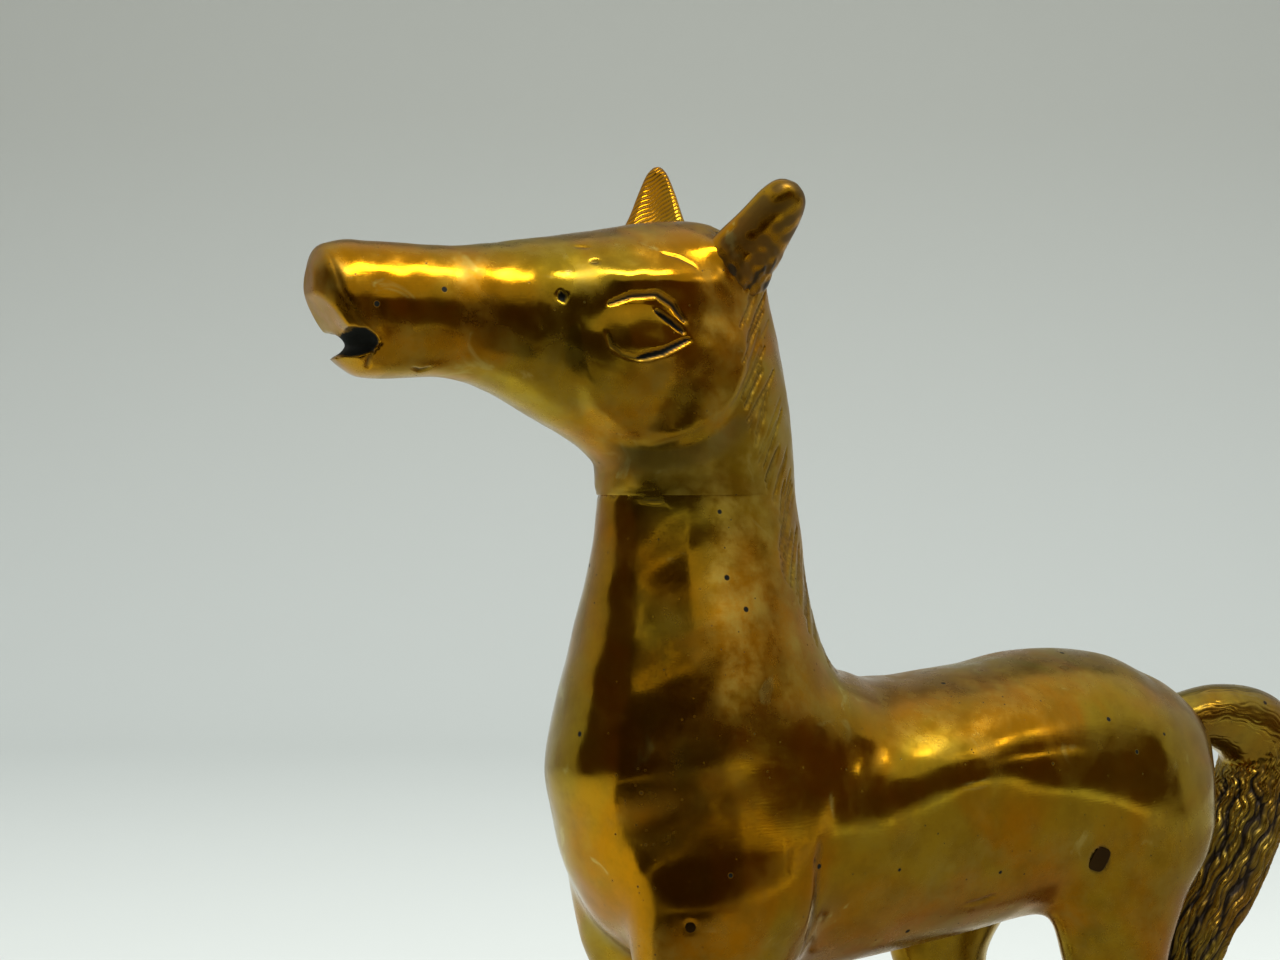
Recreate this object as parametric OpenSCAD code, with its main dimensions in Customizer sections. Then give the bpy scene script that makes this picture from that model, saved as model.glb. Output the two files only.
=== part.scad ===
// Cast brass horse, standing with one hind leg forward and its nose held level.
// Faces -X, near side -Y, +Z up, hooves on z = 0, origin under the middle of its length.

/* [Trunk] */
// Height of the back behind the withers
back_h = 80; // [70:1:96]
// Height of the belly above the ground
belly_h = 39; // [33:1:46]
// Length of the trunk from the breast to the buttocks
trunk_len = 109; // [92:1:130]
// Width across the shoulders
chest_w = 37; // [32:0.5:44]
// Width across the barrel
barrel_w = 36; // [30:0.5:42]
// Width across the croup
croup_w = 34; // [30:0.5:40]
// How far the breast stands out in front of the throat
breast_out = 7; // [4:0.5:10]

/* [Neck] */
// Rise of the head seam above the back
neck_rise = 26; // [20:0.5:32]
// Depth of the neck at the head seam, front to back
neck_d = 29; // [25:0.5:34]
// Width of the neck at the head seam
neck_w = 21; // [18:0.5:25]

/* [Head] */
// Reach of the muzzle in front of the throat
muzzle_reach = 41; // [34:0.5:49]
// Rise of the poll above the head seam
poll_rise = 37; // [31:0.5:44]
// Width of the muzzle
muzzle_w = 12.6; // [10.5:0.2:15]
// Width across the eyes
eye_w = 22.6; // [19:0.2:27]
// Gape of the mouth at the lips
mouth_gape = 3.6; // [2:0.2:5]
// Depth of the mouth from the lips to its corner
mouth_len = 8; // [5:0.5:10]

/* [Ears] */
// Length of an ear above its foot
ear_len = 14; // [12:0.5:17]
// Width of an ear
ear_w = 9.6; // [8:0.2:11.6]
// Thickness of an ear
ear_t = 4.4; // [3.6:0.1:5.4]
// Distance between the ears' feet
ear_span = 14; // [12:0.5:16.8]
// Place of the near ear's foot behind the throat
near_ear_back = 16.5; // [14:0.5:20]
// Place of the far ear's foot behind the throat
far_ear_back = 11.5; // [9.5:0.5:14]
// Backward lean of the near ear in degrees
near_ear_lean = 30; // [15:1:32]
// Backward lean of the far ear in degrees
far_ear_lean = 14; // [5:1:20]
// Outward splay of both ears in degrees
ear_splay = 22; // [12:1:28]
// Turn of the near ear's opening from the front towards the far ear in degrees
near_ear_turn = 80; // [64:1:96]
// Turn of the far ear's opening from the front towards the near ear in degrees
far_ear_turn = 57; // [46:1:68]

/* [Legs] */
// Distance between the middles of a pair of legs
leg_span = 22; // [19:0.5:25]
// Place of the forelegs behind the breast
foreleg_set = 18; // [15:0.5:22]
// Place of the hips in front of the buttocks
hip_set = 20; // [17:0.5:24]
// Drop of the leg seams below the belly
seam_drop = 3; // [2:0.5:5]
// Width of a shoulder, front to back
shoulder_d = 26; // [22:0.5:30]
// Width of a haunch, front to back
haunch_d = 26; // [22:0.5:30]
// Width of the upper leg, side to side
upper_leg_w = 17; // [14:0.5:19]
// Width of each thigh across the body
thigh_w = 13; // [11:0.5:15.5]
// Width of a leg at its seam, front to back
leg_top_d = 17; // [14:0.5:19]
// Width of each foreleg across the body at its upper seam
fore_top_w = 12.8; // [10.4:0.2:14.4]
// Width of each hind leg across the body at its upper seam
hind_top_w = 10.6; // [9.4:0.2:12.6]
// Width of a knee or hock
knee_d = 9.4; // [8:0.2:11.2]
// Width of a cannon
cannon_d = 7; // [6:0.2:8.4]
// Width of a hoof on the ground
hoof_d = 11.6; // [10:0.2:13.8]
// Height of a hoof
hoof_h = 6; // [5:0.2:7.2]
// Forward step of the far hind leg
hind_step = 17; // [12:0.5:20]
// Backward set of the near hind hoof
hind_back = 4; // [0:0.5:6]

/* [Tail] */
// Reach of the tail behind the buttocks
tail_reach = 23; // [19:0.5:27]
// Height of the tail's tip above the ground
tail_tip_h = 12; // [9:0.5:15]
// Thickness of the tail, front to back
tail_t = 14; // [11:0.5:16]
// Width of the tail, side to side
tail_w = 13; // [11:0.5:15.6]

/* [Joints] */
// Wall of the hollow body casting
wall = 3.2; // [2.6:0.1:4]
// Diameter of the head's spigot
head_peg_d = 13; // [10:0.5:15]
// Length of the head's spigot
head_peg_len = 8; // [6:0.5:10]
// Diameter of a leg's spigot
leg_peg_d = 6; // [5:0.2:7.2]
// Length of a leg's spigot
leg_peg_len = 7; // [5:0.5:9]
// Diameter of the tail's spigot
tail_peg_d = 6; // [5:0.2:7.2]
// Length of the tail's spigot
tail_peg_len = 7; // [5:0.5:9]
// Diameter of an ear's spigot
ear_peg_d = 3; // [2.4:0.1:3.6]
// Length of an ear's spigot
ear_peg_len = 4; // [3:0.2:5]
// Gap around each spigot, filled by brazing
braze_gap = 0.1; // [0.05:0.01:0.2]
// Length of a flank plug along the body
flank_plug_l = 3; // [2.4:0.1:3.6]
// Height of a flank plug
flank_plug_h = 4; // [3.2:0.1:4.8]
// Diameter of the chest plug
chest_plug_d = 2; // [1.6:0.1:2.4]

/* [Hidden] */

$fn = 48;
// corners of a trunk ring, of a limb ring, and rings made between two given ones
TRUNK_SIDES = 28;
LIMB_SIDES = 20;
BETWEEN = 2;
// overrun of a cut beyond the face it opens
OVER = 1;

brass = "#b08a3a";
brass_dark = "#7d6129";

trunk_d = back_h - belly_h;
breast_x = -breast_out;
rump_x = breast_x + trunk_len;
seam_h = back_h + neck_rise;
leg_seam_h = belly_h - seam_drop;

// ---- rings: [under x, under z, top x, top z, half width, widest level, squareness]

// a ring of the head; x is a share of the muzzle's reach in front of the throat
// and of the neck's depth behind it, z a share of the poll's rise
function head_x(a) = a < 0 ? a * muzzle_reach : a * neck_d;
function head_ring(a1, z1, a2, z2, w, level = 0.46, square = 0.95) =
    [head_x(a1), seam_h + z1 * poll_rise, head_x(a2), seam_h + z2 * poll_rise, w / 2, level, square];

// a ring of the neck; z is a share of the rise from the back to the head seam
function neck_ring(x1, z1, x2, z2, w) =
    [x1, back_h + z1 * neck_rise, neck_d + x2, back_h + z2 * neck_rise, w / 2, 0.45, 1];

// a ring of the trunk; x is a share of its length, z a share of its depth
function trunk_ring(x1, z1, x2, z2, w, level = 0.48) =
    [breast_x + x1 * trunk_len, belly_h + z1 * trunk_d,
     breast_x + x2 * trunk_len, belly_h + z2 * trunk_d, w / 2, level, 1];

function mix(a, b, t) = a + (b - a) * t;

head_rings = [
    head_ring(-1.00, 0.66, -1.00, 0.78, 0.35 * muzzle_w, 0.5, 1),
    head_ring(-0.98, 0.61, -0.97, 0.84, 0.72 * muzzle_w, 0.5),
    head_ring(-0.94, 0.50, -0.93, 0.86, 0.90 * muzzle_w),
    head_ring(-0.88, 0.43, -0.88, 0.87, 0.98 * muzzle_w),
    head_ring(-0.80, 0.40, -0.80, 0.87, muzzle_w),
    head_ring(-0.56, 0.41, -0.56, 0.87, mix(muzzle_w, eye_w, 0.05)),
    head_ring(-0.41, 0.37, -0.40, 0.89, mix(muzzle_w, eye_w, 0.32)),
    head_ring(-0.24, 0.27, -0.22, 0.92, mix(muzzle_w, eye_w, 0.68), 0.55),
    head_ring(-0.10, 0.19, -0.02, 0.96, mix(muzzle_w, eye_w, 0.92), 0.58),
    head_ring(-0.02, 0.12, 0.26, 1.00, eye_w, 0.6),
    head_ring(0, 0.08, 0.52, 1.00, mix(eye_w, neck_w, 0.15), 0.58),
    head_ring(0, 0.05, 0.73, 0.90, mix(eye_w, neck_w, 0.5), 0.52),
    head_ring(0, 0.02, 0.86, 0.68, mix(eye_w, neck_w, 0.85)),
    head_ring(0, 0.01, 0.96, 0.30, neck_w),
    head_ring(0, 0, 1, 0, neck_w, 0.45, 1)];

neck_rings = [
    neck_ring(-0.3, 0.77, 0.8, 0.74, mix(neck_w, chest_w, 0.15)),
    neck_ring(-1.5, 0.52, 1.5, 0.48, mix(neck_w, chest_w, 0.38)),
    neck_ring(-3.0, 0.27, 2.6, 0.28, mix(neck_w, chest_w, 0.60)),
    neck_ring(-4.7, 0.02, 4.1, 0.15, mix(neck_w, chest_w, 0.77)),
    neck_ring(-6.2, -0.23, 6.0, 0.06, mix(neck_w, chest_w, 0.89))];

trunk_rings = [
    trunk_ring(0.00, 0.72, 0.41, 1.02, mix(neck_w, chest_w, 0.94), 0.42),
    trunk_ring(0.01, 0.57, 0.43, 1.00, mix(neck_w, chest_w, 0.97), 0.42),
    trunk_ring(0.03, 0.38, 0.45, 0.99, mix(neck_w, chest_w, 0.99), 0.42),
    trunk_ring(0.08, 0.18, 0.47, 0.99, chest_w, 0.45),
    trunk_ring(0.17, 0.04, 0.50, 0.99, chest_w, 0.54),
    trunk_ring(0.28, 0.00, 0.54, 1.00, mix(chest_w, barrel_w, 0.3), 0.61),
    trunk_ring(0.47, 0.03, 0.62, 1.02, barrel_w, 0.63),
    trunk_ring(0.65, 0.09, 0.72, 1.06, barrel_w, 0.5),
    trunk_ring(0.82, 0.17, 0.83, 1.04, croup_w, 0.4),
    trunk_ring(0.90, 0.26, 0.89, 0.98, 0.88 * croup_w, 0.38),
    trunk_ring(0.95, 0.38, 0.945, 0.91, 0.72 * croup_w, 0.41),
    trunk_ring(0.99, 0.51, 0.98, 0.83, 0.48 * croup_w, 0.5),
    trunk_ring(1.00, 0.62, 0.995, 0.75, 0.24 * croup_w, 0.5)];

// the whole run of rings, and the places in it of the head seam and of the last ring
run = concat(head_rings, neck_rings, trunk_rings);
AT_SEAM = len(head_rings) - 1;
AT_END = len(run) - 1;

// smooth curve through the rings; t counts rings from the muzzle
function curve(p0, p1, p2, p3, t) =
    p1 + t / 2 * (p2 - p0 + t * (2 * p0 - 5 * p1 + 4 * p2 - p3 + t * (3 * p1 - p0 - 3 * p2 + p3)));
function ring_at(t) =
    let (i = min(floor(t), AT_END - 1))
    curve(run[max(i - 1, 0)], run[i], run[i + 1], run[min(i + 2, AT_END)], t - i);

// the same ring moved in by the casting's wall
function inner_ring(r) =
    let (d = [r[2] - r[0], r[3] - r[1]], s = wall / norm(d) * d)
    [r[0] + s[0], r[1] + s[1], r[2] - s[0], r[3] - s[1], r[4] - wall, r[5], r[6]];

// point of a ring at angle a, from 0 on the far side through 90 on the top
function ring_point(r, a) =
    let (s = sign(sin(a)) * pow(abs(sin(a)), r[6]))
    let (c = sign(cos(a)) * pow(abs(cos(a)), r[6]))
    let (h = r[5] + s * (s > 0 ? 1 - r[5] : r[5]))
    [mix(r[0], r[2], h), r[4] * c, mix(r[1], r[3], h)];
function ring_points(r) = [for (k = [0:TRUNK_SIDES - 1]) ring_point(r, k * 360 / TRUNK_SIDES)];

// closed skin over a stack of rings of n points each
module skin(rings, n) {
    last = len(rings) - 1;
    points = [for (ring = rings) for (p = ring) p];
    sides = [for (i = [0:last - 1]) for (k = [0:n - 1])
        let (a = i * n + k, b = i * n + (k + 1) % n)
        each [[a, a + n, b + n], [a, b + n, b]]];
    first_cap = [for (k = [1:n - 2]) [0, k, k + 1]];
    last_cap = [for (k = [1:n - 2]) [last * n, last * n + k + 1, last * n + k]];
    polyhedron(points = points, faces = concat(sides, first_cap, last_cap));
}

// ---- limbs: stacks of level ovals, each [x, y, z, half length, half width]

function oval(r, n) = [for (k = [0:n - 1])
    [r[0] + r[3] * cos(-k * 360 / n), r[1] + r[4] * sin(-k * 360 / n), r[2]]];

module limb(rows) {
    last = len(rows) - 1;
    rings = [for (i = [0:last - 1]) for (j = [0:BETWEEN - 1])
        curve(rows[max(i - 1, 0)], rows[i], rows[i + 1], rows[min(i + 2, last)], j / BETWEEN)];
    skin([for (r = concat(rings, [rows[last]])) oval(r, LIMB_SIDES)], LIMB_SIDES);
}

half_span = leg_span / 2;
foreleg_x = breast_x + foreleg_set;
hip_x = rump_x - hip_set;

// the legs' seams, each [x, side, ring at the seam]
function seam_row(x, side, w) = [x, side * half_span, leg_seam_h, leg_top_d / 2, w / 2];
left_fore_seam = seam_row(foreleg_x, -1, fore_top_w);
right_fore_seam = seam_row(foreleg_x + 3, 1, fore_top_w);
left_hind_seam = seam_row(hip_x - 3, -1, hind_top_w);
right_hind_seam = seam_row(hip_x - hind_step - 2, 1, hind_top_w);

// upper leg inside the body casting, from the shoulder or hip down to its seam
function upper_leg_rows(seam, x, long, wide) = [
    [x + 3, 0.72 * seam[1], belly_h + 0.78 * trunk_d, 0.22 * long, 0.29 * wide],
    [x + 3, 0.86 * seam[1], belly_h + 0.5 * trunk_d, 0.47 * long, 0.475 * wide],
    [mix(x + 3, seam[0], 0.35), 0.98 * seam[1], belly_h + 0.34 * trunk_d, 0.5 * long, wide / 2],
    [mix(x, seam[0], 0.75), 0.98 * seam[1], belly_h + 0.13 * trunk_d, 0.43 * long, 0.42 * wide],
    seam];

// leg below its seam, through the knee and fetlock to the hoof
module leg(seam, knee_x, fetlock_x, hoof_x) {
    y = seam[1];
    below = leg_seam_h - hoof_h;
    half_knee = knee_d / 2;
    half_cannon = cannon_d / 2;
    limb([
        seam,
        [mix(seam[0], knee_x, 0.55), 0.99 * y, hoof_h + 0.74 * below, mix(seam[3], half_knee, 0.62),
            mix(seam[4], half_knee, 0.6)],
        [knee_x, 0.97 * y, hoof_h + 0.46 * below, half_knee, 0.92 * half_knee],
        [mix(knee_x, fetlock_x, 0.6), 0.96 * y, hoof_h + 0.26 * below, half_cannon, 0.95 * half_cannon],
        [fetlock_x, 0.96 * y, hoof_h + 0.1 * below, 1.16 * half_cannon, 1.1 * half_cannon],
        [mix(fetlock_x, hoof_x, 0.8), 0.96 * y, hoof_h - OVER, 1.1 * half_cannon, 1.1 * half_cannon]]);
    translate([hoof_x, 0.96 * y, 0])
        cylinder(h = hoof_h, d1 = hoof_d, d2 = 0.82 * hoof_d);
    translate([seam[0], y, leg_seam_h - OVER])
        cylinder(h = leg_peg_len + OVER, d = leg_peg_d);
}

module leg_socket(seam) {
    translate([seam[0], seam[1], leg_seam_h - OVER])
        cylinder(h = leg_peg_len + braze_gap + OVER, d = leg_peg_d + 2 * braze_gap);
}

// ---- tail: ovals stood square to a curve that leaves the rump and hangs to the tip
// each row is [x, z, direction in degrees, half thickness, half width]

tail_root_z = belly_h + 0.79 * trunk_d;
// the tail's skin starts just clear of the rump
tail_foot_x = rump_x + 3 * braze_gap;
tail_back_x = rump_x + tail_reach;
tail_drop = tail_root_z - tail_tip_h;
half_tail = tail_t / 2;
tail_rows = [
    [tail_foot_x, tail_root_z - 1, 0, 0.6 * half_tail, 0.6 * tail_w / 2],
    [mix(rump_x, tail_back_x, 0.28), tail_root_z - 1, -10, 0.72 * half_tail, 0.72 * tail_w / 2],
    [tail_back_x - 1.1 * half_tail, tail_root_z - 0.08 * tail_drop, -52, half_tail, 0.92 * tail_w / 2],
    [tail_back_x - 1.25 * half_tail, tail_root_z - 0.24 * tail_drop, -100, half_tail, tail_w / 2],
    [tail_back_x - 2.2 * half_tail, tail_root_z - 0.44 * tail_drop, -118, half_tail, tail_w / 2],
    [tail_back_x - 3.3 * half_tail, tail_root_z - 0.64 * tail_drop, -112, 0.9 * half_tail, 0.88 * tail_w / 2],
    [tail_back_x - 3.9 * half_tail, tail_root_z - 0.84 * tail_drop, -94, 0.66 * half_tail, 0.62 * tail_w / 2],
    [tail_back_x - 3.9 * half_tail, tail_tip_h, -80, 0.3 * half_tail, 0.3 * tail_w / 2]];

function tail_ring(r) = [for (k = [0:LIMB_SIDES - 1])
    let (a = k * 360 / LIMB_SIDES)
    [r[0] - r[3] * sin(a) * sin(r[2]), r[4] * cos(a), r[1] + r[3] * sin(a) * cos(r[2])]];
tail_last = len(tail_rows) - 1;
tail_rings = [for (i = [0:tail_last]) for (j = [0:(i < tail_last ? BETWEEN : 1) - 1])
    tail_ring(curve(tail_rows[max(i - 1, 0)], tail_rows[i], tail_rows[min(i + 1, tail_last)],
        tail_rows[min(i + 2, tail_last)], j / BETWEEN))];

// middle of the length, from the muzzle to the back of the tail
muzzle_x = -muzzle_reach;
mid_x = (muzzle_x + max([for (ring = tail_rings) for (p = ring) p[0]])) / 2;
module placed() {
    translate([-mid_x, 0, 0]) children();
}

// ---- body casting

module head_socket() {
    translate([neck_d / 2, 0, seam_h - head_peg_len - braze_gap])
        cylinder(h = head_peg_len + braze_gap + OVER, d = head_peg_d + 2 * braze_gap);
}

module tail_rod(gap) {
    translate([tail_foot_x + OVER, 0, tail_root_z - 1])
        rotate([0, -90, 0])
        cylinder(h = tail_peg_len + OVER + gap, d = tail_peg_d + 2 * gap);
}

// the hollow starts under the head's spigot and ends short of the croup
HOLLOW_FROM = AT_SEAM + 1;
HOLLOW_TO = AT_SEAM + len(neck_rings) + 10;
module hollow() {
    rings = [for (i = [HOLLOW_FROM * BETWEEN:HOLLOW_TO * BETWEEN]) inner_ring(ring_at(i / BETWEEN))];
    skin([for (r = rings) ring_points(r)], TRUNK_SIDES);
}

// each core plug sits flush in a hole square to the skin around it
FLANK_AT = AT_SEAM + len(neck_rings) + 8.3;
flank_point = ring_point(ring_at(FLANK_AT), 210);
module flank_plug_block(side, gap, over) {
    l = flank_plug_l + 2 * gap;
    h = flank_plug_h + 2 * gap;
    mirror([0, side > 0 ? 1 : 0, 0])
        translate(flank_point)
        rotate([30, 0, 0])
        translate([-l / 2, -over, -h / 2])
        cube([l, wall + 2 * over, h]);
}

chest_row = upper_leg_rows(left_fore_seam, foreleg_x, shoulder_d, upper_leg_w)[2];
chest_turn = 225;
module chest_plug_rod(gap, over) {
    translate([chest_row[0] + chest_row[3] * cos(chest_turn), chest_row[1] + chest_row[4] * sin(chest_turn),
            chest_row[2]])
        rotate([0, 90, chest_turn + 10])
        translate([0, 0, -wall - over])
        cylinder(h = wall + 2 * over, d = chest_plug_d + 2 * gap, $fn = 96);
}

module body_casting() {
    color(brass) placed() difference() {
        union() {
            skin([for (i = [AT_SEAM * BETWEEN:AT_END * BETWEEN]) ring_points(ring_at(i / BETWEEN))],
                TRUNK_SIDES);
            limb(upper_leg_rows(left_fore_seam, foreleg_x, shoulder_d, upper_leg_w));
            limb(upper_leg_rows(right_fore_seam, foreleg_x, shoulder_d, upper_leg_w));
            limb(upper_leg_rows(left_hind_seam, hip_x, haunch_d, thigh_w));
            limb(upper_leg_rows(right_hind_seam, hip_x, haunch_d, thigh_w));
        }
        hollow();
        head_socket();
        tail_rod(braze_gap);
        leg_socket(left_fore_seam);
        leg_socket(right_fore_seam);
        leg_socket(left_hind_seam);
        leg_socket(right_hind_seam);
        flank_plug_block(-1, braze_gap, OVER);
        flank_plug_block(1, braze_gap, OVER);
        chest_plug_rod(braze_gap, OVER);
    }
}

// ---- head casting

// an ear's own frame: foot on the poll, +Z along the ear, its opening towards -X;
// each ear is [side, lean, place behind the throat, height as a share of the poll's rise, turn]
ears = [
    [-1, near_ear_lean, near_ear_back, 0.83, near_ear_turn],
    [1, far_ear_lean, far_ear_back, 0.90, far_ear_turn]];
module at_ear(ear) {
    translate([ear[2], ear[0] * ear_span / 2, seam_h + ear[3] * poll_rise])
        rotate([-ear[0] * ear_splay, ear[1], 0])
        rotate([0, 0, ear[0] * ear[4]])
        children();
}

// flat seat and bore for an ear
module ear_seat() {
    cylinder(h = 2 * ear_peg_len, d = ear_w + 4 * braze_gap);
    translate([0, 0, -ear_peg_len - braze_gap])
        cylinder(h = ear_peg_len + OVER, d = ear_peg_d + 2 * braze_gap);
}

module mouth() {
    corner = [mouth_len - muzzle_reach, seam_h + 0.51 * poll_rise];
    lips = [-muzzle_reach - OVER, seam_h + 0.57 * poll_rise];
    hull() for (end = [[corner, 0.3 * mouth_gape], [lips, mouth_gape]])
        translate([end[0][0], 0, end[0][1]])
            rotate([90, 0, 0])
            cylinder(h = 2 * muzzle_w, d = end[1], center = true, $fn = 24);
}

module head_casting() {
    color(brass) placed() difference() {
        union() {
            skin([for (i = [0:AT_SEAM * BETWEEN]) ring_points(ring_at(i / BETWEEN))], TRUNK_SIDES);
            translate([neck_d / 2, 0, seam_h - head_peg_len])
                cylinder(h = head_peg_len + OVER, d = head_peg_d);
        }
        mouth();
        for (ear = ears)
            at_ear(ear) ear_seat();
    }
}

// ---- ears: ovals with a flattened front, each [height, half width, back depth, front depth]

EAR_SIDES = 16;
function ear_ring(r) = [for (k = [0:EAR_SIDES - 1])
    let (a = -k * 360 / EAR_SIDES)
    [cos(a) * (cos(a) > 0 ? r[2] : r[3]), r[1] * sin(a), r[0]]];

module ear_shell() {
    half_w = ear_w / 2;
    rows = [
        [0, 0.9 * half_w, 0.5 * ear_t, 0.5 * ear_t],
        [0.25 * ear_len, half_w, 0.5 * ear_t, 0.34 * ear_t],
        [0.5 * ear_len, 0.86 * half_w, 0.48 * ear_t, 0.24 * ear_t],
        [0.75 * ear_len, 0.62 * half_w, 0.4 * ear_t, 0.2 * ear_t],
        [0.92 * ear_len, 0.38 * half_w, 0.28 * ear_t, 0.18 * ear_t],
        [ear_len, 0.12 * half_w, 0.1 * ear_t, 0.1 * ear_t]];
    skin([for (i = [len(rows) - 1:-1:0]) ear_ring(rows[i])], EAR_SIDES);
    translate([0, 0, -ear_peg_len])
        cylinder(h = ear_peg_len + OVER, d = ear_peg_d);
}

module left_ear() {
    color(brass) placed() at_ear(ears[0]) ear_shell();
}

module right_ear() {
    color(brass) placed() at_ear(ears[1]) ear_shell();
}

// ---- legs, tail and plugs

module left_foreleg() {
    color(brass) placed() leg(left_fore_seam, foreleg_x - 1, foreleg_x, foreleg_x - 1);
}

module right_foreleg() {
    color(brass) placed() leg(right_fore_seam, foreleg_x + 2, foreleg_x + 3, foreleg_x + 2);
}

module left_hindleg() {
    hock_x = hip_x + hind_back;
    color(brass) placed() leg(left_hind_seam, hock_x, hock_x - 1, hock_x - 2);
}

module right_hindleg() {
    hock_x = right_hind_seam[0] + 4;
    color(brass) placed() leg(right_hind_seam, hock_x, hock_x - 2, hock_x - 4);
}

module tail() {
    color(brass_dark) placed() {
        skin(tail_rings, LIMB_SIDES);
        tail_rod(0);
    }
}

module left_flank_plug() {
    color(brass_dark) placed() flank_plug_block(-1, 0, 0);
}

module right_flank_plug() {
    color(brass_dark) placed() flank_plug_block(1, 0, 0);
}

module chest_plug() {
    color(brass_dark) placed() chest_plug_rod(0, 0);
}

body_casting();
head_casting();
left_ear();
right_ear();
left_foreleg();
right_foreleg();
left_hindleg();
right_hindleg();
tail();
left_flank_plug();
right_flank_plug();
chest_plug();
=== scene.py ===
"""Cast brass horse: the looks of a small hollow statue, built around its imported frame."""
import math

import bmesh
import bpy
import numpy as np
import openvdb
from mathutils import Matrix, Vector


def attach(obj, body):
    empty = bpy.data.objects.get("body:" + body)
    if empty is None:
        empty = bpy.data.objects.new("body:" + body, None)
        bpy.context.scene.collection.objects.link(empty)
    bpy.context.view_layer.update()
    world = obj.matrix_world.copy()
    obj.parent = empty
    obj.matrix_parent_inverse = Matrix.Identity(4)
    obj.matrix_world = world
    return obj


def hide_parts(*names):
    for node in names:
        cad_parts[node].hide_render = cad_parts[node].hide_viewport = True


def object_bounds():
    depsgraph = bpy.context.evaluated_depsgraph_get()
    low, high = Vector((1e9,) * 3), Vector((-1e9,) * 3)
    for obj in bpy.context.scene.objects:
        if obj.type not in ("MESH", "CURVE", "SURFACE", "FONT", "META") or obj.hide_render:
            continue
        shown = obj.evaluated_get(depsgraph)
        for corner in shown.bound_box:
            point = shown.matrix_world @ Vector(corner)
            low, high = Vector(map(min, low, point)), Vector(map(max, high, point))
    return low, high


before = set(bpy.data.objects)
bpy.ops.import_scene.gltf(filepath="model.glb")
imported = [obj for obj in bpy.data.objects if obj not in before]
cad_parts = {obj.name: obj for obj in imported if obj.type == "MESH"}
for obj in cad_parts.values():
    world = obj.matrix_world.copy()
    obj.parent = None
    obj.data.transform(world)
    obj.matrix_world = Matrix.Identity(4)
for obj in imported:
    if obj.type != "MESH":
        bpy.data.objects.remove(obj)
cad_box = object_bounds()
MM = 0.001


# ---- Studio ---------------------------------------------------------------------------
# A pale seamless sweep, a big soft light overhead, a pale sky, and dark flags round the
# camera's side that only the polished metal sees, as a maker stands them for brass.

def new_mesh(name, points, faces, smooth=True):
    """A mesh object from points in millimetres and a list or array of faces."""
    mesh = bpy.data.meshes.new(name)
    mesh.from_pydata((np.asarray(points, float) * MM).tolist(), [], np.asarray(faces).tolist())
    mesh.validate()
    mesh.polygons.foreach_set("use_smooth", [smooth] * len(mesh.polygons))
    piece = bpy.data.objects.new(name, mesh)
    bpy.context.scene.collection.objects.link(piece)
    return piece


def grid_faces(n, m, close_around=True):
    """Quads of an n by m grid of points, closed around its second direction if asked."""
    i, k = np.meshgrid(np.arange(n - 1), np.arange(m if close_around else m - 1), indexing="ij")
    a = (i * m + k).ravel()
    b = (i * m + (k + 1) % m).ravel()
    return np.stack([a, a + m, b + m, b], -1)


class Socket:
    """A shader value that adds its own Math nodes when it is used in an expression."""

    def __init__(self, tree, link):
        self.tree = tree
        self.link = link

    def node(self, kind, inputs=(), out=0, **settings):
        """Any other node: its settings first, then the values or links of its sockets."""
        made = self.tree.nodes.new(kind)
        ramp = settings.pop("stops", None)
        for key, value in settings.items():
            setattr(made, key, value)
        if ramp:
            for spare in range(len(ramp) - 2):
                made.color_ramp.elements.new(0.5)
            for element, (place, colour) in zip(made.color_ramp.elements, ramp):
                element.position = place
                element.color = colour if len(colour) == 4 else (*colour, 1)
        pairs = inputs.items() if isinstance(inputs, dict) else enumerate(inputs)
        for key, value in pairs:
            if isinstance(value, Socket):
                self.tree.links.new(value.link, made.inputs[key])
            else:
                made.inputs[key].default_value = value
        return Socket(self.tree, made.outputs[out])

    def maths(self, operation, *values):
        return self.node("ShaderNodeMath", values, operation=operation)

    def __add__(self, other):
        return self.maths("ADD", self, other)

    def __sub__(self, other):
        return self.maths("SUBTRACT", self, other)

    def __rsub__(self, other):
        return self.maths("SUBTRACT", other, self)

    def __mul__(self, other):
        return self.maths("MULTIPLY", self, other)

    def __truediv__(self, other):
        return self.maths("DIVIDE", self, other)

    def __pow__(self, other):
        return self.maths("POWER", self, other)

    __radd__ = __add__
    __rmul__ = __mul__

    def between(self, low, high):
        """0 below low, 1 above high, with a smooth step from one to the other."""
        return self.node("ShaderNodeMapRange", {"Value": self, "From Min": low, "From Max": high},
                         interpolation_type="SMOOTHSTEP")

    def tint(self, base, colour):
        """The colour base, going over to colour as this value goes from 0 to 1."""
        return self.node("ShaderNodeMix", {0: self, 6: base, 7: colour}, out=2, data_type="RGBA")

    def attribute(self, name):
        """A number kept on the mesh, one for each point."""
        return self.node("ShaderNodeAttribute", out=2, attribute_name=name)

    def noise(self, size, detail=3.0, rough=0.5, stretch=(1, 1, 1), at=(0, 0, 0), warp=0.0):
        """Cloudy noise from 0 to 1 on Object coordinates; size is its grain in millimetres."""
        place = self.node("ShaderNodeTexCoord", out=3)
        place = self.node("ShaderNodeMapping", {0: place, 1: at, 3: stretch})
        return self.node("ShaderNodeTexNoise", {"Vector": place, "Scale": 1 / (size * MM),
                                                "Detail": detail, "Roughness": rough,
                                                "Distortion": warp})

    def cells(self, size, at=(0, 0, 0), spread=1.0):
        """Distance to the nearest of a scatter of points, 0 at a point; size in millimetres."""
        place = self.node("ShaderNodeTexCoord", out=3)
        place = self.node("ShaderNodeMapping", {0: place, 1: at})
        return self.node("ShaderNodeTexVoronoi", {"Vector": place, "Scale": 1 / (size * MM),
                                                  "Randomness": spread})


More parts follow.
